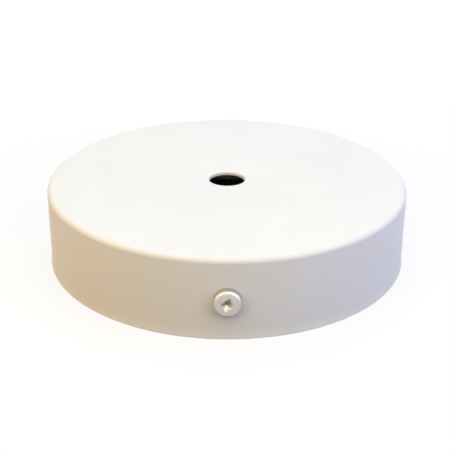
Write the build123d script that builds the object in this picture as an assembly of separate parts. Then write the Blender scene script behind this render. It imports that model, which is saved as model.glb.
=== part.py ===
from build123d import *
import os
from math import sqrt

# Ceiling canopy: a drawn sheet cup that covers a folded ceiling bracket and is held to it by two
# side screws. Millimetres. The ceiling, and the cup's rim, is z = 0, and the closed face looks
# along +Z. The side screws lie on the Y axis, the front one towards -Y.

# Cup, drawn from one sheet; the wall includes its coating
cup_diameter = 100.0
cup_height = 22.0
cup_wall = 1.0
cup_corner_radius = 2.0  # outside, between the wall and the closed face
rim_flare = 0.25  # the trimmed rim leans out by this much
rim_flare_height = 1.6
rim_flare_radius = 6.0  # outside, where the lean begins
rim_edge_radius = 0.25
cord_hole_diameter = 10.0
cord_hole_edge_radius = 0.25  # outside only, where the punch went in
side_hole_clearance = 0.25  # radial, round the side screws

# M4 pan-head screws with a cross recess; threads are drawn as plain cylinders
thread_diameter = 4.0
thread_clearance = 0.05  # radial, between a screw and the hole it is screwed into
thread_end_chamfer = 0.5
head_diameter = 7.0
head_height = 2.6
head_crown = 0.4  # rise of the crown from the head's shoulder to its middle
head_edge_radius = 1.0
recess_span = 4.2
recess_slot = 1.0
recess_depth = 1.9
recess_floor_span = 2.0
recess_floor_slot = 0.6

# Side screws
side_screw_height = 11.0  # axis above the ceiling
side_screw_length = 8.0  # under the head
side_screw_seat_gap = 0.05  # flat head against the round wall
front_recess_turn = -14.0  # degrees anticlockwise, where the screw came to a stop
rear_recess_turn = 25.0

# Bracket, one folded strip
strip_width = 18.0
strip_thickness = 1.5
ceiling_gap = 0.3  # the strip stays inside the rim, so that the rim closes on the ceiling
tab_wall_clearance = 0.35  # between the tabs' long edges and the cup's wall
tab_bend_radius = 1.5  # inside
tab_above_screw = 5.0  # from the screw axis to the tab's top edge
tab_corner_radius = 4.0
middle_rise = 4.0  # the raised middle leaves room for the supply cable behind it
ramp_length = 5.0
ramp_bend_radius = 2.0  # inside
cable_hole_diameter = 10.5
slot_width = 4.5  # slots for the ceiling screws
slot_margin = 3.0  # from each slot to the bends of its foot
collar_wall = 0.9  # burred collars lengthen the tapped holes
collar_length = 1.2

# Earth terminal on the raised middle
washer_diameter = 8.0
washer_root_diameter = 6.6
washer_bore_clearance = 0.2  # radial, round the screw
washer_thickness = 0.5
washer_teeth = 10
washer_tooth_width = 1.1
washer_margin = 1.4  # from the washer to the cable hole, and to the end of the raised middle
earth_screw_length = 5.0  # under the head

# Places that follow from the sizes above
cup_radius = cup_diameter / 2
thread_radius = thread_diameter / 2
tab_face = sqrt((cup_radius - cup_wall) ** 2 - (strip_width / 2) ** 2) - tab_wall_clearance
tab_top = side_screw_height + tab_above_screw
earth_y = cable_hole_diameter / 2 + washer_margin + washer_diameter / 2
middle_end = earth_y + washer_diameter / 2 + washer_margin
middle_underside = ceiling_gap + middle_rise
middle_top = middle_underside + strip_thickness
foot_start = middle_end + ramp_length
foot_end = tab_face - tab_bend_radius - strip_thickness


def side_plane(side, distance):
    """Plane across the screw axis on one side, -1 front or 1 rear, looking out, with Y upright."""
    return Plane((0, side * distance, side_screw_height), x_dir=(-side, 0, 0), z_dir=(0, side, 0))


def canopy_cup():
    """Turned section of the sheet, with the holes for the side screws through its wall."""
    corners = [
        (cord_hole_diameter / 2, cup_height, cord_hole_edge_radius),
        (cup_radius, cup_height, cup_corner_radius),
        (cup_radius, rim_flare_height, rim_flare_radius),
        (cup_radius + rim_flare, 0, rim_edge_radius),
        (cup_radius + rim_flare - cup_wall, 0, rim_edge_radius),
        (cup_radius - cup_wall, rim_flare_height, rim_flare_radius + cup_wall),
        (cup_radius - cup_wall, cup_height - cup_wall, cup_corner_radius - cup_wall),
        (cord_hole_diameter / 2, cup_height - cup_wall, 0),
    ]
    outline = FilletPolyline(
        [(x, z) for x, z, radius in corners], radius=[radius for x, z, radius in corners], close=True
    )
    cup = revolve(Plane.XZ * make_face(outline), Axis.Z)
    side_hole_radius = thread_radius + side_hole_clearance
    both_walls = Pos(0, 0, side_screw_height) * Rot(90, 0, 0)
    return cup - both_walls * Cylinder(side_hole_radius, 2 * cup_diameter)


def tapped_collar(strip, entry):
    """Burr a collar through the strip, away from the entry plane on its face, and tap it."""
    depth = strip_thickness + collar_length
    inwards = (Align.CENTER, Align.CENTER, Align.MAX)
    collar = entry * Cylinder(thread_radius + collar_wall, depth, align=inwards)
    return strip + collar - entry * Cylinder(thread_radius, 2 * depth)


def mounting_bracket():
    """Strip folded up at both ends and raised in the middle, with its slots and tapped holes."""
    outer_bend = tab_bend_radius + strip_thickness
    ramp_foot = ramp_bend_radius + strip_thickness
    underside = FilletPolyline(
        (-tab_face, tab_top),
        (-tab_face, ceiling_gap),
        (-foot_start, ceiling_gap),
        (-middle_end, middle_underside),
        (middle_end, middle_underside),
        (foot_start, ceiling_gap),
        (tab_face, ceiling_gap),
        (tab_face, tab_top),
        radius=[outer_bend, ramp_foot, ramp_bend_radius, ramp_bend_radius, ramp_foot, outer_bend],
    )
    section = make_face(offset(underside, strip_thickness, side=Side.LEFT))
    strip = extrude(Plane.YZ * section, strip_width / 2, both=True)
    strip = fillet(strip.edges().filter_by(Axis.Y).group_by(Axis.Z)[-1], tab_corner_radius)

    slot_length = foot_end - foot_start - 2 * slot_margin
    slot = extrude(SlotOverall(slot_length, slot_width, rotation=90), tab_top)
    for side in (-1, 1):
        strip -= Pos(0, side * (foot_start + foot_end) / 2, 0) * slot
        strip = tapped_collar(strip, side_plane(side, tab_face))
    strip -= Pos(0, 0, middle_top) * Cylinder(cable_hole_diameter / 2, 2 * middle_rise)
    return tapped_collar(strip, Plane((0, earth_y, middle_top)))


def pan_head_screw(length, recess_turn):
    """Screw along Z with its head's underside at z = 0, turned about its axis by an angle."""
    shank_radius = thread_radius - thread_clearance
    head_radius = head_diameter / 2
    shoulder = (head_radius, head_height - head_crown)
    side = Polyline(
        (0, -length),
        (shank_radius - thread_end_chamfer, -length),
        (shank_radius, thread_end_chamfer - length),
        (shank_radius, 0),
        (head_radius, 0),
        shoulder,
    )
    crown = TangentArc((0, head_height), shoulder, tangent=(1, 0))
    section = make_face(side + crown + Line((0, head_height), (0, -length)))
    section = fillet(section.vertices().sort_by_distance(shoulder)[0], head_edge_radius)
    mouth = Pos(0, 0, head_height) * Rectangle(recess_span, recess_slot)
    floor = Pos(0, 0, head_height - recess_depth) * Rectangle(recess_floor_span, recess_floor_slot)
    wing = loft([mouth, floor], ruled=True)
    recess = wing + Rot(0, 0, 90) * wing
    return Rot(0, 0, recess_turn) * (revolve(Plane.XZ * section, Axis.Z) - recess)


def side_screw(side, recess_turn):
    """Screw through the cup's wall into the bracket's tab on one side."""
    seat = side_plane(side, cup_radius + side_screw_seat_gap)
    return seat * pan_head_screw(side_screw_length, recess_turn)


def earth_washer():
    """Flat washer with a ring of outer teeth, under the earth screw's head."""
    tooth_reach = washer_diameter / 2
    tooth = Rectangle(tooth_reach, washer_tooth_width, align=(Align.MIN, Align.CENTER))
    ring = Circle(washer_root_diameter / 2) + PolarLocations(0, washer_teeth) * tooth
    ring -= Circle(thread_radius + washer_bore_clearance)
    return Pos(0, earth_y, middle_top) * extrude(ring, washer_thickness)


def earth_screw():
    """Screw head up on the washer, tapped into the raised middle."""
    return Pos(0, earth_y, middle_top + washer_thickness) * pan_head_screw(earth_screw_length, 0)


pieces = {
    "canopy_cup": canopy_cup(),
    "mounting_bracket": mounting_bracket(),
    "side_screw_front": side_screw(-1, front_recess_turn),
    "side_screw_rear": side_screw(1, rear_recess_turn),
    "earth_washer": earth_washer(),
    "earth_screw": earth_screw(),
}

os.makedirs("parts", exist_ok=True)
for name, piece in pieces.items():
    export_step(piece, f"parts/{name}.step")
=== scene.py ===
import math

import bmesh
import bpy
from mathutils import Matrix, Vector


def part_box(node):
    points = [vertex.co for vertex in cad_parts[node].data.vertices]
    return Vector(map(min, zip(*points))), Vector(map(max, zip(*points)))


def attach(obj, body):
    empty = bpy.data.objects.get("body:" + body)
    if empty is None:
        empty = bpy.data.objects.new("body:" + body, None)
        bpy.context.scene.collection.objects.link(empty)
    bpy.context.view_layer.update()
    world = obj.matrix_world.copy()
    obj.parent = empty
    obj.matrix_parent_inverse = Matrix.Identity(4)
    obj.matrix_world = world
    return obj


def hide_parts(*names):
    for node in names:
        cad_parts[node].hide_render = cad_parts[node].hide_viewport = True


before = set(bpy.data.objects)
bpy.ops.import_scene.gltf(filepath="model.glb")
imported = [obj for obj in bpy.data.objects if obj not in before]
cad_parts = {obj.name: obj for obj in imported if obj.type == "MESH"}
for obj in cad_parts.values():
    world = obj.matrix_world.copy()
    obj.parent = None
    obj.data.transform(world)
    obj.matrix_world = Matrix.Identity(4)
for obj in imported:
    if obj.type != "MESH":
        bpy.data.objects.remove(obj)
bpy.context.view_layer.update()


# Mounting bracket: one strip of 1.5 mm sheet steel, blanked, folded and burred for its tapped holes,
# then zinc plated. Ceiling screws through its slots hold it, and the whole canopy hangs from it.
MM = 0.001
sheared_edge = 0.15 * MM  # rounding that blanking and tumbling leave along every edge
thread_pitch = 0.7 * MM
tapped_radius = 2.0 * MM  # the crest of the thread in the holes, which the solid has as a plain bore
tapped_depth = 0.3 * MM
tapped_length = 4.2 * MM  # the collar's 2.7 mm and some way past each end
tapped_past_face = 0.7 * MM
fold_crease = 35  # degrees; the strip's faces shade smoothly below it


def add(tree, kind, inputs=None, **settings):
    """Add a node. An input is a value, an output or node that feeds it, or a list of those."""
    node = tree.nodes.new(kind)
    for setting, value in settings.items():
        setattr(node, setting, value)
    for socket, value in (inputs or {}).items():
        for source in value if isinstance(value, list) else [value]:
            if isinstance(source, bpy.types.Node):
                source = source.outputs[0]
            if isinstance(source, bpy.types.NodeSocket):
                tree.links.new(source, node.inputs[socket])
            else:
                node.inputs[socket].default_value = source
    return node


def new_tree(name, **inputs):
    """An empty geometry tree with inputs of these kinds, and its input node's outputs by name."""
    tree = bpy.data.node_groups.new(name, "GeometryNodeTree")
    for label, kind in inputs.items():
        tree.interface.new_socket(label, in_out="INPUT", socket_type=f"NodeSocket{kind}")
    tree.interface.new_socket("result", in_out="OUTPUT", socket_type="NodeSocketGeometry")
    return tree, tree.nodes.new("NodeGroupInput").outputs


def run_tree(piece, tree, **values):
    """Put a tree on a piece as a modifier, with values for its inputs by name."""
    modifier = piece.modifiers.new(tree.name, "NODES")
    modifier.node_group = tree
    for socket in tree.interface.items_tree:
        if socket.name in values:
            modifier[socket.identifier] = values[socket.name]


def new_piece(name, mesh):
    """An object at the origin that holds a mesh."""
    piece = bpy.data.objects.new(name, mesh)
    bpy.context.scene.collection.objects.link(piece)
    return piece


def round_edges(piece, name, width):
    """Round a piece's sharp edges with a modifier."""
    rounding = piece.modifiers.new(name, "BEVEL")
    rounding.width = width
    rounding.segments = 2
    rounding.limit_method = "ANGLE"
    rounding.angle_limit = math.radians(50)


def settle(piece, crease):
    """Make a piece and its modifiers one plain mesh, smooth but for edges sharper than the crease."""
    ready = piece.evaluated_get(bpy.context.evaluated_depsgraph_get())
    piece.data = bpy.data.meshes.new_from_object(ready)
    piece.modifiers.clear()
    if piece.data.materials[0] is None:  # the slot of the mesh that the tree began with
        piece.data.materials.pop(index=0)
    piece.data.shade_smooth()
    piece.data.set_sharp_from_angle(angle=math.radians(crease))


def linear(colour):
    """An sRGB hex colour as linear RGBA."""
    channels = [int(colour[start:start + 2], 16) / 255 for start in (1, 3, 5)]
    return (*(c / 12.92 if c <= 0.04045 else ((c + 0.055) / 1.055) ** 2.4 for c in channels), 1)


def new_finish(name):
    """A material, its node tree and its one Principled shader."""
    material = bpy.data.materials.new(name)
    material.use_nodes = True
    return material, material.node_tree, material.node_tree.nodes["Principled BSDF"]


def thread_ridge():
    """Tree for a V ridge wound right-handed up from z = 0, which fades out at both its ends."""
    steps_per_turn = 40
    crest_share = 0.125  # of the pitch, flat along the top of the V
    buried_share = 0.08  # of the pitch, how far the ridge starts inside its root
    flank_slope = math.tan(math.radians(30))
    point_outwards = (0, 0, math.radians(-90))
    end_share = 0.05  # of the ridge's section, left at its ends
    tree, size = new_tree(
        "Thread ridge", root_radius="Float", depth="Float", pitch="Float", length="Float"
    )
    turns = add(tree, "ShaderNodeMath", {0: size["length"], 1: size["pitch"]}, operation="DIVIDE")
    path = add(
        tree,
        "GeometryNodeCurveSpiral",
        {
            "Resolution": steps_per_turn,
            "Rotations": turns,
            "Start Radius": size["root_radius"],
            "End Radius": size["root_radius"],
            "Height": size["length"],
        },
    )
    path = add(tree, "GeometryNodeSetCurveNormal", {"Curve": path}, mode="Z_UP")
    buried = add(tree, "ShaderNodeMath", {0: size["pitch"], 1: buried_share}, operation="MULTIPLY")
    height = add(tree, "ShaderNodeMath", {0: size["depth"], 1: buried}, operation="ADD")
    crest = add(tree, "ShaderNodeMath", {0: size["pitch"], 1: crest_share}, operation="MULTIPLY")
    base = add(
        tree, "ShaderNodeMath", {0: height, 1: 2 * flank_slope, 2: crest}, operation="MULTIPLY_ADD"
    )
    section = add(
        tree,
        "GeometryNodeCurvePrimitiveQuadrilateral",
        {"Height": height, "Bottom Width": base, "Top Width": crest, "Offset": 0.0},
        mode="TRAPEZOID",
    )
    half_height = add(tree, "ShaderNodeMath", {0: height, 1: 0.5}, operation="MULTIPLY")
    centre = add(tree, "ShaderNodeMath", {0: half_height, 1: buried}, operation="SUBTRACT")
    outwards = add(tree, "ShaderNodeCombineXYZ", {"X": centre})
    section = add(
        tree,
        "GeometryNodeTransform",
        {"Geometry": section, "Translation": outwards, "Rotation": point_outwards},
    )
    along = add(tree, "GeometryNodeSplineParameter")
    past_middle = add(tree, "ShaderNodeMath", {0: along, 1: 0.5}, operation="SUBTRACT")
    past_middle = add(tree, "ShaderNodeMath", {0: past_middle}, operation="ABSOLUTE")
    half_turn = add(tree, "ShaderNodeMath", {0: 0.5, 1: turns}, operation="DIVIDE")
    full_until = add(tree, "ShaderNodeMath", {0: 0.5, 1: half_turn}, operation="SUBTRACT")
    fade = add(
        tree,
        "ShaderNodeMapRange",
        {
            "Value": past_middle,
            "From Min": full_until,
            "From Max": 0.5,
            "To Min": 1.0,
            "To Max": end_share,
        },
    )
    ridge = add(
        tree,
        "GeometryNodeCurveToMesh",
        {"Curve": path, "Profile Curve": section, "Scale": fade, "Fill Caps": True},
    )
    add(tree, "NodeGroupOutput", {0: ridge})
    return tree


def tapped_holes():
    """Tree that cuts the thread into the bracket's three holes."""
    tree, size = new_tree(
        "Tapped holes",
        blank="Geometry",
        root_radius="Float",
        depth="Float",
        pitch="Float",
        length="Float",
        front="Vector",
        rear="Vector",
        earth="Vector",
        finish="Material",
    )
    ridge_sizes = {label: size[label] for label in ("root_radius", "depth", "pitch", "length")}
    tap = add(tree, "GeometryNodeGroup", ridge_sizes, node_tree=ridge_tree)
    turned = {
        "front": (math.radians(90), 0, 0),
        "rear": (math.radians(-90), 0, 0),
        "earth": (0, 0, 0),
    }
    taps = [
        add(
            tree,
            "GeometryNodeTransform",
            {"Geometry": tap, "Translation": size[hole], "Rotation": turn},
        )
        for hole, turn in turned.items()
    ]
    tapped = add(
        tree, "GeometryNodeMeshBoolean", {"Mesh 1": size["blank"], "Mesh 2": taps}, solver="EXACT"
    )
    whole = add(tree, "GeometryNodeRealizeInstances", {"Geometry": tapped})
    dressed = add(tree, "GeometryNodeSetMaterial", {"Geometry": whole, "Material": size["finish"]})
    add(tree, "NodeGroupOutput", {0: dressed})
    return tree


# Bright zinc on cold-rolled strip: a cool grey metal with rolling lines along the strip and a
# cloudy, slightly yellow passivation, so that its gloss breaks up into soft streaks.
rolling_line = 0.25 * MM
rolling_stretch = 0.04  # the lines run about 25 times as long as they are wide
passivation_cloud = 7 * MM
zinc_plated_steel, tree, shader = new_finish("zinc_plated_steel")
place = add(tree, "ShaderNodeTexCoord").outputs["Object"]
streaked = add(tree, "ShaderNodeMapping", {"Vector": place, "Scale": (1, rolling_stretch, 1)})
rolling = add(
    tree, "ShaderNodeTexNoise", {"Vector": streaked, "Scale": 1 / rolling_line, "Detail": 3}
)
clouds = add(
    tree, "ShaderNodeTexNoise", {"Vector": place, "Scale": 1 / passivation_cloud, "Detail": 4}
)
tone = add(tree, "ShaderNodeMapRange", {"Value": clouds, "From Min": 0.3, "From Max": 0.7})
colour = add(
    tree, "ShaderNodeMix", {0: tone, 6: linear("#BFC3C7"), 7: linear("#D3D1C8")}, data_type="RGBA"
)
gloss = add(
    tree,
    "ShaderNodeMapRange",
    {"Value": rolling, "From Min": 0.3, "From Max": 0.7, "To Min": 0.26, "To Max": 0.42},
)
relief = add(tree, "ShaderNodeBump", {"Height": rolling, "Strength": 0.25, "Distance": 0.01 * MM})
shader.inputs["Metallic"].default_value = 1.0
tree.links.new(colour.outputs[2], shader.inputs["Base Color"])
tree.links.new(gloss.outputs[0], shader.inputs["Roughness"])
tree.links.new(relief.outputs[0], shader.inputs["Normal"])

front_low, front_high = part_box("side_screw_front")
earth_low, earth_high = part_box("earth_screw")
washer_low, washer_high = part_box("earth_washer")
bracket_low, bracket_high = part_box("mounting_bracket")
side_screw_z = (front_low.z + front_high.z) / 2
earth_y = (earth_low.y + earth_high.y) / 2

skin = bmesh.new()
skin.from_mesh(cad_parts["mounting_bracket"].data)
bmesh.ops.remove_doubles(skin, verts=skin.verts, dist=0.001 * MM)
bmesh.ops.dissolve_limit(skin, angle_limit=math.radians(0.5), verts=skin.verts, edges=skin.edges)
bracket = new_piece("bracket", bpy.data.meshes.new("bracket"))
skin.to_mesh(bracket.data)
skin.free()
round_edges(bracket, "Sheared edges", sheared_edge)
ridge_tree = thread_ridge()
run_tree(
    bracket,
    tapped_holes(),
    root_radius=tapped_radius,
    depth=tapped_depth,
    pitch=thread_pitch,
    length=tapped_length,
    front=(0, bracket_low.y - tapped_past_face + tapped_length, side_screw_z),
    rear=(0, bracket_high.y + tapped_past_face - tapped_length, side_screw_z),
    earth=(0, earth_y, washer_low.z + tapped_past_face - tapped_length),
    finish=zinc_plated_steel,
)
settle(bracket, fold_crease)
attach(bracket, "canopy")
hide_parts("mounting_bracket")


# Earth washer: a lock washer stamped from spring steel, with ten outer teeth twisted out of its
# plane so that they bite into the bracket and the wire's lug. It lies under the earth screw's head.
washer_teeth = 10
washer_bore_radius = 2.2 * MM
washer_root_radius = 3.3 * MM
washer_tooth_width = 1.1 * MM
washer_tooth_twist = math.radians(8.5)
washer_sheet = 0.34 * MM
washer_edge = 0.04 * MM  # rounding along its stamped edges
washer_tip_radius = washer_high.x
washer_middle_z = (washer_low.z + washer_high.z) / 2


def toothed_ring():
    """Tree that sets copies of one tooth's sector round Z, joins them and gives them a finish."""
    tree, size = new_tree(
        "Toothed ring", sector="Geometry", teeth="Int", centre="Vector", finish="Material"
    )
    teeth = add(tree, "GeometryNodeMeshLine", {"Count": size["teeth"], "Offset": (0, 0, 0)})
    number = add(tree, "GeometryNodeInputIndex")
    step = add(tree, "ShaderNodeMath", {0: math.tau, 1: size["teeth"]}, operation="DIVIDE")
    angle = add(tree, "ShaderNodeMath", {0: number, 1: step}, operation="MULTIPLY")
    turn = add(tree, "ShaderNodeCombineXYZ", {"Z": angle})
    copies = add(
        tree,
        "GeometryNodeInstanceOnPoints",
        {"Points": teeth, "Instance": size["sector"], "Rotation": turn},
    )
    seated = add(tree, "GeometryNodeTransform", {"Geometry": copies, "Translation": size["centre"]})
    whole = add(tree, "GeometryNodeRealizeInstances", {"Geometry": seated})
    joined = add(tree, "GeometryNodeMergeByDistance", {"Geometry": whole, "Distance": 0.001 * MM})
    dressed = add(tree, "GeometryNodeSetMaterial", {"Geometry": joined, "Material": size["finish"]})
    add(tree, "NodeGroupOutput", {0: dressed})
    return tree


# Hardened spring steel with a thin oiled black finish worn to grey, so that it looks darker and
# duller than the zinc under it.
worn_patch = 0.9 * MM
spring_steel, tree, shader = new_finish("spring_steel")
place = add(tree, "ShaderNodeTexCoord").outputs["Object"]
mottle = add(tree, "ShaderNodeTexNoise", {"Vector": place, "Scale": 1 / worn_patch, "Detail": 4})
tone = add(tree, "ShaderNodeMapRange", {"Value": mottle, "From Min": 0.35, "From Max": 0.7})
colour = add(
    tree, "ShaderNodeMix", {0: tone, 6: linear("#6E6F73"), 7: linear("#A3A3A6")}, data_type="RGBA"
)
gloss = add(tree, "ShaderNodeMapRange", {"Value": mottle, "To Min": 0.3, "To Max": 0.5})
shader.inputs["Metallic"].default_value = 1.0
tree.links.new(colour.outputs[2], shader.inputs["Base Color"])
tree.links.new(gloss.outputs[0], shader.inputs["Roughness"])

half_sector = math.pi / washer_teeth
half_tooth = math.asin(washer_tooth_width / 2 / washer_root_radius)
ring_angles = [-half_sector, *(half_tooth * share for share in (-1, -0.5, 0, 0.5, 1)), half_sector]
ring_radii = (washer_bore_radius, (washer_bore_radius + washer_root_radius) / 2, washer_root_radius)
tooth_steps = 3
sheet = bmesh.new()
ring = [
    [
        sheet.verts.new((radius * math.cos(angle), radius * math.sin(angle), 0))
        for angle in ring_angles
    ]
    for radius in ring_radii
]
tooth = [ring[-1][1:-1]]
for step in range(1, tooth_steps + 1):
    share = step / tooth_steps
    slope = math.tan(washer_tooth_twist) * share * share * (3 - 2 * share)
    roots = [corner.co.copy() for corner in tooth[0]]
    tooth.append(
        [
            sheet.verts.new((root.x + (washer_tip_radius - root.x) * share, root.y, root.y * slope))
            for root in roots
        ]
    )
for grid in (ring, tooth):
    for inner, outer in zip(grid, grid[1:]):
        for i in range(len(inner) - 1):
            sheet.faces.new((inner[i], outer[i], outer[i + 1], inner[i + 1]))
washer = new_piece("washer", bpy.data.meshes.new("washer"))
sheet.to_mesh(washer.data)
sheet.free()
run_tree(
    washer,
    toothed_ring(),
    teeth=washer_teeth,
    centre=(0, earth_y, washer_middle_z),
    finish=spring_steel,
)
thickness = washer.modifiers.new("Sheet", "SOLIDIFY")
thickness.thickness = washer_sheet
thickness.offset = 0
round_edges(washer, "Stamped edges", washer_edge)
settle(washer, fold_crease)
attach(washer, "canopy")
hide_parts("earth_washer")


# Earth screw: an M4 pan-head machine screw with a cross recess, cold headed and thread rolled from
# brass wire. It clamps the earth wire, and is screwed down into the bracket's raised middle.
thread_radius = 1.95 * MM
thread_depth = 0.43 * MM
thread_end = 0.5 * MM  # chamfer at the tip
thread_below_head = 0.6 * MM
head_radius = 3.5 * MM
head_height = 2.6 * MM
head_crown = 0.4 * MM
head_edge_radius = 1.0 * MM
head_under_edge = 0.15 * MM
recess_span = 4.2 * MM
recess_slot = 1.0 * MM
recess_depth = 1.9 * MM  # to the middle, where the wings meet
recess_flank_depth = 0.6 * MM  # where the wings' gentle outer slopes end and the steep feet begin
recess_foot_span = 2.1 * MM  # at the end of the outer slopes
recess_foot_slot = 0.9 * MM
recess_core_radius = 1.4 * MM  # the cone that takes off the corners between the wings
recess_core_foot = 0.05 * MM
recess_core_depth = 1.8 * MM
recess_over = 0.05 * MM  # the punch starts a little above the crown
earth_screw_length = 5.0 * MM
core_radius = thread_radius - thread_depth
turned_crease = 30  # degrees; turned faces shade smoothly below it


def turned_section():
    """Tree that rounds a section's corners and turns it about Z. The section has x out and y up."""
    path_radius = 1 * MM  # any radius: the section is moved back by as much
    tree, size = new_tree("Turned section", section="Geometry", segments="Int", corner_steps="Int")
    outline = add(tree, "GeometryNodeMeshToCurve", {"Mesh": size["section"]})
    radius = add(
        tree, "GeometryNodeInputNamedAttribute", {"Name": "corner_radius"}, data_type="FLOAT"
    )
    rounded = add(
        tree,
        "GeometryNodeFilletCurve",
        {"Curve": outline, "Count": size["corner_steps"], "Radius": radius, "Limit Radius": True},
        mode="POLY",
    )
    seated = add(
        tree,
        "GeometryNodeTransform",
        {"Geometry": rounded, "Translation": (-path_radius, 0, 0), "Scale": (1, -1, 1)},
    )
    path = add(
        tree,
        "GeometryNodeCurvePrimitiveCircle",
        {"Resolution": size["segments"], "Radius": path_radius},
    )
    turned = add(tree, "GeometryNodeCurveToMesh", {"Curve": path, "Profile Curve": seated})
    closed = add(tree, "GeometryNodeMergeByDistance", {"Geometry": turned, "Distance": 0.001 * MM})
    add(tree, "NodeGroupOutput", {0: closed})
    return tree


def section_mesh(name, points, closed):
    """A section's outline as a mesh of edges, from points of (out, up, corner radius)."""
    mesh = bpy.data.meshes.new(name)
    last = len(points) if closed else len(points) - 1
    mesh.from_pydata(
        [(out, up, 0) for out, up, radius in points],
        [(i, (i + 1) % len(points)) for i in range(last)],
        [],
    )
    corner_radius = mesh.attributes.new("corner_radius", "FLOAT", "POINT")
    corner_radius.data.foreach_set("value", [radius for out, up, radius in points])
    return mesh


def arc(out, up, radius, start, end, steps):
    """Points of a section on an arc from one angle to another, in degrees."""
    angles = [math.radians(start + (end - start) * i / steps) for i in range(steps + 1)]
    return [(out + radius * math.cos(a), up + radius * math.sin(a), 0) for a in angles]


def screw_section(length):
    """Half of a screw's outline without its thread, from the crown's middle to the tip's."""
    crown_steps, edge_steps = 6, 10
    crown_radius = (head_radius**2 + head_crown**2) / (2 * head_crown)
    crown_up = head_height - crown_radius
    edge_out = head_radius - head_edge_radius
    edge_up = math.sqrt((crown_radius - head_edge_radius) ** 2 - edge_out**2)
    meeting = math.degrees(math.atan2(edge_up, edge_out))
    crown = arc(0, crown_up, crown_radius, 90, meeting, crown_steps)
    edge = arc(edge_out, crown_up + edge_up, head_edge_radius, meeting, 0, edge_steps)
    stem = [
        (head_radius, 0, head_under_edge),
        (core_radius, 0, 0),
        (core_radius, thread_end / 2 - length, 0),
        (core_radius - thread_end / 2, -length, 0),
        (0, -length, 0),
    ]
    return [(0, head_height, 0)] + crown[1:] + edge[1:] + stem


def pan_head_screw():
    """Tree for a screw along Z with its head's underside at z = 0."""
    around_head, around_core = 72, 24
    quarter_turn = (0, 0, math.radians(90))
    tree, size = new_tree(
        "Pan-head screw",
        section="Geometry",
        root_radius="Float",
        depth="Float",
        pitch="Float",
        length="Float",
        thread_start="Vector",
        wing_mouth="Vector",
        wing_foot_share="Vector",
        wing_point="Float",
        core_mouth="Float",
        core_foot="Float",
        core_depth="Float",
        core_place="Vector",
        wing_place="Vector",
        finish="Material",
    )
    blank = add(
        tree,
        "GeometryNodeGroup",
        {"section": size["section"], "segments": around_head, "corner_steps": 3},
        node_tree=turned_tree,
    )
    ridge_sizes = {label: size[label] for label in ("root_radius", "depth", "pitch", "length")}
    ridge = add(tree, "GeometryNodeGroup", ridge_sizes, node_tree=ridge_tree)
    ridge = add(
        tree, "GeometryNodeTransform", {"Geometry": ridge, "Translation": size["thread_start"]}
    )
    rolled = add(
        tree,
        "GeometryNodeMeshBoolean",
        {"Mesh 2": [blank, ridge]},
        operation="UNION",
        solver="EXACT",
    )
    depth = add(tree, "ShaderNodeSeparateXYZ", {"Vector": size["wing_mouth"]}).outputs["Z"]
    half_depth = add(tree, "ShaderNodeMath", {0: depth, 1: 0.5}, operation="MULTIPLY")
    lift = add(tree, "ShaderNodeCombineXYZ", {"Z": half_depth})
    wing = add(tree, "GeometryNodeMeshCube", {"Size": size["wing_mouth"], "Vertices X": 3})
    wing = add(tree, "GeometryNodeTransform", {"Geometry": wing, "Translation": lift})
    corner = add(tree, "GeometryNodeInputPosition")
    place = add(tree, "ShaderNodeSeparateXYZ", {"Vector": corner}).outputs
    height_share = add(tree, "ShaderNodeMath", {0: place["Z"], 1: depth}, operation="DIVIDE")
    taper = add(
        tree,
        "ShaderNodeMix",
        {0: height_share, 4: size["wing_foot_share"], 5: (1, 1, 1)},
        data_type="VECTOR",
    )
    tapered = add(
        tree, "ShaderNodeVectorMath", {0: corner, 1: taper.outputs[1]}, operation="MULTIPLY"
    )
    at_middle = add(
        tree, "ShaderNodeMath", {0: place["X"], 1: 0.0, 2: 0.01 * MM}, operation="COMPARE"
    )
    drop = add(tree, "ShaderNodeMath", {0: height_share, 1: 1.0}, operation="SUBTRACT")
    drop = add(tree, "ShaderNodeMath", {0: drop, 1: at_middle}, operation="MULTIPLY")
    drop = add(tree, "ShaderNodeMath", {0: drop, 1: size["wing_point"]}, operation="MULTIPLY")
    drop = add(tree, "ShaderNodeCombineXYZ", {"Z": drop})
    wing = add(
        tree, "GeometryNodeSetPosition", {"Geometry": wing, "Position": tapered, "Offset": drop}
    )
    cross_wing = add(tree, "GeometryNodeTransform", {"Geometry": wing, "Rotation": quarter_turn})
    core = add(
        tree,
        "GeometryNodeMeshCone",
        {
            "Vertices": around_core,
            "Radius Top": size["core_mouth"],
            "Radius Bottom": size["core_foot"],
            "Depth": size["core_depth"],
        },
    )
    punches = [
        add(tree, "GeometryNodeTransform", {"Geometry": punch, "Translation": size[foot]})
        for punch, foot in ((wing, "wing_place"), (cross_wing, "wing_place"), (core, "core_place"))
    ]
    punched = add(
        tree, "GeometryNodeMeshBoolean", {"Mesh 1": rolled, "Mesh 2": punches}, solver="EXACT"
    )
    whole = add(tree, "GeometryNodeRealizeInstances", {"Geometry": punched})
    dressed = add(tree, "GeometryNodeSetMaterial", {"Geometry": whole, "Material": size["finish"]})
    add(tree, "NodeGroupOutput", {0: dressed})
    return tree


def drop_slivers(mesh):
    """Take out what punching leaves without area: twin corners, slivers and faces back to back."""
    skin = bmesh.new()
    skin.from_mesh(mesh)
    bmesh.ops.remove_doubles(skin, verts=skin.verts, dist=0.001 * MM)
    bmesh.ops.triangulate(skin, faces=skin.faces)
    bmesh.ops.dissolve_degenerate(skin, dist=0.001 * MM, edges=skin.edges)
    bmesh.ops.triangulate(skin, faces=skin.faces)  # dissolving leaves larger faces again
    by_corners = {}
    for face in skin.faces:
        by_corners.setdefault(frozenset(face.verts), []).append(face)
    twins = [face for faces in by_corners.values() if len(faces) > 1 for face in faces]
    bmesh.ops.delete(skin, geom=twins, context="FACES_ONLY")
    skin.to_mesh(mesh)
    skin.free()


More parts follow.
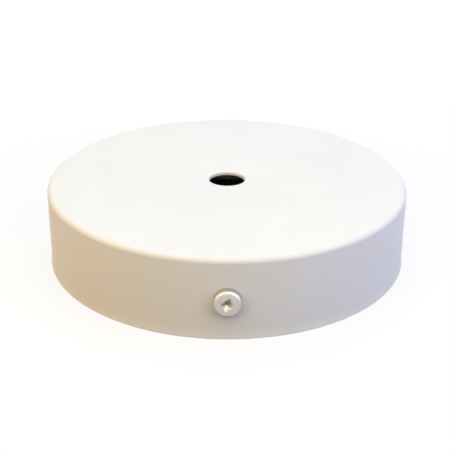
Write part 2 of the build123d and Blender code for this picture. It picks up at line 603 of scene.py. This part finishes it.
def new_screw(name, length, finish, seat):
    """A screw of a length under its head, moved from the origin to its seat by a matrix."""
    screw = new_piece(name, section_mesh(name, screw_section(length), closed=False))
    wing_depth = recess_flank_depth + recess_over
    run_tree(
        screw,
        screw_tree,
        root_radius=core_radius,
        depth=thread_depth,
        pitch=thread_pitch,
        length=length - thread_end / 2 - thread_below_head,
        thread_start=(0, 0, thread_end / 2 - length),
        wing_mouth=(recess_span, recess_slot, wing_depth),
        wing_foot_share=(recess_foot_span / recess_span, recess_foot_slot / recess_slot, 1),
        wing_point=recess_depth - recess_flank_depth,
        core_mouth=recess_core_radius,
        core_foot=recess_core_foot,
        core_depth=recess_core_depth + recess_over,
        core_place=(0, 0, head_height - recess_core_depth),
        wing_place=(0, 0, head_height - recess_flank_depth),
        finish=finish,
    )
    settle(screw, turned_crease)
    drop_slivers(screw.data)
    screw.data.set_sharp_from_angle(angle=math.radians(turned_crease))
    screw.data.transform(seat)
    return screw


# Bare drawn brass, barely tarnished: a warm yellow metal with a brown breath in patches and fine
# handling marks.
tarnish_patch = 2.2 * MM
handling_mark = 0.12 * MM
brass, tree, shader = new_finish("brass")
place = add(tree, "ShaderNodeTexCoord").outputs["Object"]
tarnish = add(
    tree, "ShaderNodeTexNoise", {"Vector": place, "Scale": 1 / tarnish_patch, "Detail": 4}
)
tone = add(tree, "ShaderNodeMapRange", {"Value": tarnish, "From Min": 0.35, "From Max": 0.75})
colour = add(
    tree, "ShaderNodeMix", {0: tone, 6: linear("#E0BE78"), 7: linear("#BE9552")}, data_type="RGBA"
)
gloss = add(tree, "ShaderNodeMapRange", {"Value": tarnish, "To Min": 0.2, "To Max": 0.42})
marks = add(tree, "ShaderNodeTexNoise", {"Vector": place, "Scale": 1 / handling_mark, "Detail": 2})
relief = add(tree, "ShaderNodeBump", {"Height": marks, "Strength": 0.2, "Distance": 0.005 * MM})
shader.inputs["Metallic"].default_value = 1.0
tree.links.new(colour.outputs[2], shader.inputs["Base Color"])
tree.links.new(gloss.outputs[0], shader.inputs["Roughness"])
tree.links.new(relief.outputs[0], shader.inputs["Normal"])

turned_tree = turned_section()
screw_tree = pan_head_screw()
earth_seat = Matrix.Translation((0, earth_y, earth_low.z + earth_screw_length))
earth_screw = new_screw("earth_terminal_screw", earth_screw_length, brass, earth_seat)
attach(earth_screw, "earth_terminal_screw")
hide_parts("earth_screw")


# Canopy cup: a shallow cup deep drawn from 1 mm steel sheet, with a punched cord hole, two screw
# holes and a rim that leans out where it was trimmed, then powder coated white inside and out.
cup_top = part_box("canopy_cup")[1].z
cup_radius = 50.0 * MM
cup_wall = 1.0 * MM
cup_corner_radius = 1.4 * MM  # a little tighter than the solid's
rim_flare = 0.245 * MM  # the rim leans out by this much where it was trimmed
rim_flare_height = 1.6 * MM
rim_flare_radius = 18.0 * MM  # a longer, softer lean than the solid's
rim_edge_radius = 0.25 * MM
cord_hole_radius = 5.0 * MM
cord_hole_edge_radius = 0.45 * MM  # the coat makes it rounder than the sheet's edge
side_hole_radius = 2.25 * MM


def drawn_cup():
    """Tree that turns the cup's section and punches the two screw holes through its wall."""
    around_cup, around_hole = 288, 48
    tree, size = new_tree(
        "Drawn cup",
        section="Geometry",
        hole_radius="Float",
        hole_centre="Vector",
        finish="Material",
    )
    cup = add(
        tree,
        "GeometryNodeGroup",
        {"section": size["section"], "segments": around_cup, "corner_steps": 8},
        node_tree=turned_tree,
    )
    punch = add(
        tree,
        "GeometryNodeMeshCylinder",
        {"Vertices": around_hole, "Radius": size["hole_radius"], "Depth": 3 * cup_radius},
    )
    punch = add(
        tree,
        "GeometryNodeTransform",
        {
            "Geometry": punch,
            "Translation": size["hole_centre"],
            "Rotation": (math.radians(90), 0, 0),
        },
    )
    punched = add(tree, "GeometryNodeMeshBoolean", {"Mesh 1": cup, "Mesh 2": punch}, solver="EXACT")
    whole = add(tree, "GeometryNodeRealizeInstances", {"Geometry": punched})
    dressed = add(tree, "GeometryNodeSetMaterial", {"Geometry": whole, "Material": size["finish"]})
    add(tree, "NodeGroupOutput", {0: dressed})
    return tree


# White polyester powder coat, baked on: a satin, slightly warm white with the faint orange peel that
# powder leaves when it flows out, and a film that is a shade thinner in broad patches.
orange_peel = 1.1 * MM
film_patch = 24 * MM
white_powder_coat, tree, shader = new_finish("white_powder_coat")
place = add(tree, "ShaderNodeTexCoord").outputs["Object"]
film = add(tree, "ShaderNodeTexNoise", {"Vector": place, "Scale": 1 / film_patch, "Detail": 3})
tone = add(tree, "ShaderNodeMapRange", {"Value": film, "From Min": 0.3, "From Max": 0.7})
colour = add(
    tree, "ShaderNodeMix", {0: tone, 6: linear("#F1F0EC"), 7: linear("#F4F3EF")}, data_type="RGBA"
)
peel = add(tree, "ShaderNodeTexNoise", {"Vector": place, "Scale": 1 / orange_peel, "Detail": 2})
gloss = add(tree, "ShaderNodeMapRange", {"Value": peel, "To Min": 0.38, "To Max": 0.5})
relief = add(tree, "ShaderNodeBump", {"Height": peel, "Strength": 0.15, "Distance": 0.02 * MM})
shader.inputs["Specular IOR Level"].default_value = 0.3
tree.links.new(colour.outputs[2], shader.inputs["Base Color"])
tree.links.new(gloss.outputs[0], shader.inputs["Roughness"])
tree.links.new(relief.outputs[0], shader.inputs["Normal"])

cup_section = [
    (cord_hole_radius, cup_top, cord_hole_edge_radius),
    (cup_radius, cup_top, cup_corner_radius),
    (cup_radius, rim_flare_height, rim_flare_radius),
    (cup_radius + rim_flare, 0, rim_edge_radius),
    (cup_radius + rim_flare - cup_wall, 0, rim_edge_radius),
    (cup_radius - cup_wall, rim_flare_height, rim_flare_radius + cup_wall),
    (cup_radius - cup_wall, cup_top - cup_wall, cup_corner_radius - cup_wall),
    (cord_hole_radius, cup_top - cup_wall, 0),
]
cup = new_piece("cup", section_mesh("cup", cup_section, closed=True))
run_tree(
    cup,
    drawn_cup(),
    hole_radius=side_hole_radius,
    hole_centre=(0, 0, side_screw_z),
    finish=white_powder_coat,
)
settle(cup, turned_crease)
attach(cup, "canopy")
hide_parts("canopy_cup")


# Side screws: two M4 pan-head steel screws with a cross recess, nickel plated. They pass through the
# cup's wall into the bracket's tabs, and each stopped with its recess as it fell.
side_screw_length = 8.0 * MM
front_recess_turn = math.radians(-14)
rear_recess_turn = math.radians(25)

# Barrel-plated nickel: a slightly warm, pale grey metal with a satin sheen and no clear reflections,
# because the tumbling parts rub each other dull.
barrel_dent = 0.5 * MM
nickel_plated_steel, tree, shader = new_finish("nickel_plated_steel")
place = add(tree, "ShaderNodeTexCoord").outputs["Object"]
dents = add(tree, "ShaderNodeTexNoise", {"Vector": place, "Scale": 1 / barrel_dent, "Detail": 3})
tone = add(tree, "ShaderNodeMapRange", {"Value": dents, "From Min": 0.35, "From Max": 0.7})
colour = add(
    tree, "ShaderNodeMix", {0: tone, 6: linear("#C6C2BB"), 7: linear("#B8B3AA")}, data_type="RGBA"
)
gloss = add(tree, "ShaderNodeMapRange", {"Value": dents, "To Min": 0.4, "To Max": 0.52})
relief = add(tree, "ShaderNodeBump", {"Height": dents, "Strength": 0.2, "Distance": 0.01 * MM})
shader.inputs["Metallic"].default_value = 1.0
tree.links.new(colour.outputs[2], shader.inputs["Base Color"])
tree.links.new(gloss.outputs[0], shader.inputs["Roughness"])
tree.links.new(relief.outputs[0], shader.inputs["Normal"])

rear_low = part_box("side_screw_rear")[0]
upright = Matrix.Rotation(math.radians(90), 4, "X")
front_seat = (
    Matrix.Translation((0, front_high.y - side_screw_length, side_screw_z))
    @ upright
    @ Matrix.Rotation(front_recess_turn, 4, "Z")
)
rear_seat = (
    Matrix.Translation((0, rear_low.y + side_screw_length, side_screw_z))
    @ Matrix.Rotation(math.radians(180), 4, "Z")
    @ upright
    @ Matrix.Rotation(rear_recess_turn, 4, "Z")
)
for body, node, seat in (
    ("front_screw", "side_screw_front", front_seat),
    ("rear_screw", "side_screw_rear", rear_seat),
):
    screw = new_screw(f"{body}_plated", side_screw_length, nickel_plated_steel, seat)
    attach(screw, body)
    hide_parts(node)


# Floor, light and camera: the canopy stands on its rim on a white table, between soft lamps high in
# front of it and high behind it, with a low warm lamp on its left and a low cool one on its right.
floor_drop = 0.02 * MM  # a hair under the rim, so that the two faces don't meet
floor_half = 3.0
footprint_radius = cup_radius
lamplit_radius = 0.1  # as far as the lamps light the table evenly
far_radius = 0.5  # where they light it least
lamplit_lift = 0.8  # of white, on top of the lamps' light
sky_light = 0.1  # what the white surroundings throw on the pieces
floor_mesh = bpy.data.meshes.new("floor")
floor_mesh.from_pydata(
    [
        (x * floor_half, y * floor_half, -floor_drop)
        for x, y in ((-1, -1), (1, -1), (1, 1), (-1, 1))
    ],
    [],
    [(0, 1, 2, 3)],
)
floor = new_piece("floor", floor_mesh)


def seen_share(tree):
    """1 for what the camera sees, straight or in metal and glass, and 0 for light on the pieces."""
    path = add(tree, "ShaderNodeLightPath").outputs
    seen = path["Is Camera Ray"]
    for ray in ("Is Glossy Ray", "Is Transmission Ray"):
        seen = add(tree, "ShaderNodeMath", {0: seen, 1: path[ray]}, operation="MAXIMUM")
    straight = add(
        tree, "ShaderNodeMath", {0: path["Diffuse Depth"], 1: 1.0}, operation="LESS_THAN"
    )
    return add(tree, "ShaderNodeMath", {0: seen, 1: straight}, operation="MULTIPLY")


# White table: what the camera and mirrors see of it is lifted to white, apart from shadows, and the
# lift grows outwards as the lamps fade. It throws little light back up at the wall above it.
table, tree, shader = new_finish("white_table")
shader.inputs["Base Color"].default_value = linear("#7C7C7C")
shader.inputs["Roughness"].default_value = 0.9
shader.inputs["Specular IOR Level"].default_value = 0.0
place = add(tree, "ShaderNodeTexCoord").outputs["Object"]
from_centre = add(tree, "ShaderNodeVectorMath", {0: place}, operation="LENGTH").outputs["Value"]
outside = add(
    tree, "ShaderNodeMath", {0: from_centre, 1: footprint_radius}, operation="GREATER_THAN"
)
lifted = add(tree, "ShaderNodeMath", {0: seen_share(tree), 1: outside}, operation="MULTIPLY")
share = add(
    tree,
    "ShaderNodeMapRange",
    {
        "Value": from_centre,
        "From Min": lamplit_radius,
        "From Max": far_radius,
        "To Min": lamplit_lift,
        "To Max": 1.0,
    },
)
lift = add(tree, "ShaderNodeMath", {0: lifted, 1: share}, operation="MULTIPLY")
shader.inputs["Emission Color"].default_value = (1, 1, 1, 1)
tree.links.new(lift.outputs[0], shader.inputs["Emission Strength"])
floor_mesh.materials.append(table)

world = bpy.data.worlds.new("studio")
world.use_nodes = True
bpy.context.scene.world = world
tree = world.node_tree
strength = add(
    tree, "ShaderNodeMapRange", {"Value": seen_share(tree), "To Min": sky_light, "To Max": 1.0}
)
sky = tree.nodes["Background"]
sky.inputs["Color"].default_value = (1, 1, 1, 1)
tree.links.new(strength.outputs[0], sky.inputs["Strength"])

# Azimuth from the camera's side towards the right, elevation, distance, width, height, power, colour
lamps = {
    "high_behind": (180, 60, 0.7, 0.5, 0.5, 2.3, (0.58, 0.77, 1)),
    "high_in_front": (0, 60, 0.7, 1.2, 0.6, 3.8, (1, 0.97, 0.71)),
    "warm_left": (-70, 25, 0.8, 0.9, 0.6, 2.9, (1, 0.59, 0.26)),
    "cool_right": (70, 25, 0.8, 0.9, 0.6, 3.9, (0.57, 0.60, 1)),
}
for name, (azimuth, elevation, distance, width, height, power, colour) in lamps.items():
    lamp = bpy.data.lights.new(name, "AREA")
    lamp.shape = "RECTANGLE"
    lamp.size = width
    lamp.size_y = height
    lamp.energy = power
    lamp.color = colour
    lamp_object = bpy.data.objects.new(name, lamp)
    bpy.context.scene.collection.objects.link(lamp_object)
    lamp_object.matrix_world = (
        Matrix.Rotation(math.radians(azimuth), 4, "Z")
        @ Matrix.Rotation(math.radians(90 - elevation), 4, "X")
        @ Matrix.Translation((0, 0, distance))
    )

camera_pitch = math.radians(25.37)
camera_roll = math.radians(0.32)
camera_distance = 295.7 * MM
camera_aim_z = 7.17 * MM
camera_x = -0.21 * MM
camera_turn = math.radians(-0.3)
camera = bpy.data.objects.new("camera", bpy.data.cameras.new("camera"))
bpy.context.scene.collection.objects.link(camera)
camera.data.sensor_width = 36
camera.data.lens = 81.88
camera.data.clip_start = 0.01
camera.matrix_world = (
    Matrix.Rotation(camera_turn, 4, "Z")
    @ Matrix.Translation(
        (
            camera_x,
            -camera_distance * math.cos(camera_pitch),
            camera_aim_z + camera_distance * math.sin(camera_pitch),
        )
    )
    @ Matrix.Rotation(math.radians(90) - camera_pitch, 4, "X")
    @ Matrix.Rotation(camera_roll, 4, "Z")
)
bpy.context.scene.camera = camera
bpy.context.scene.view_settings.view_transform = "Standard"
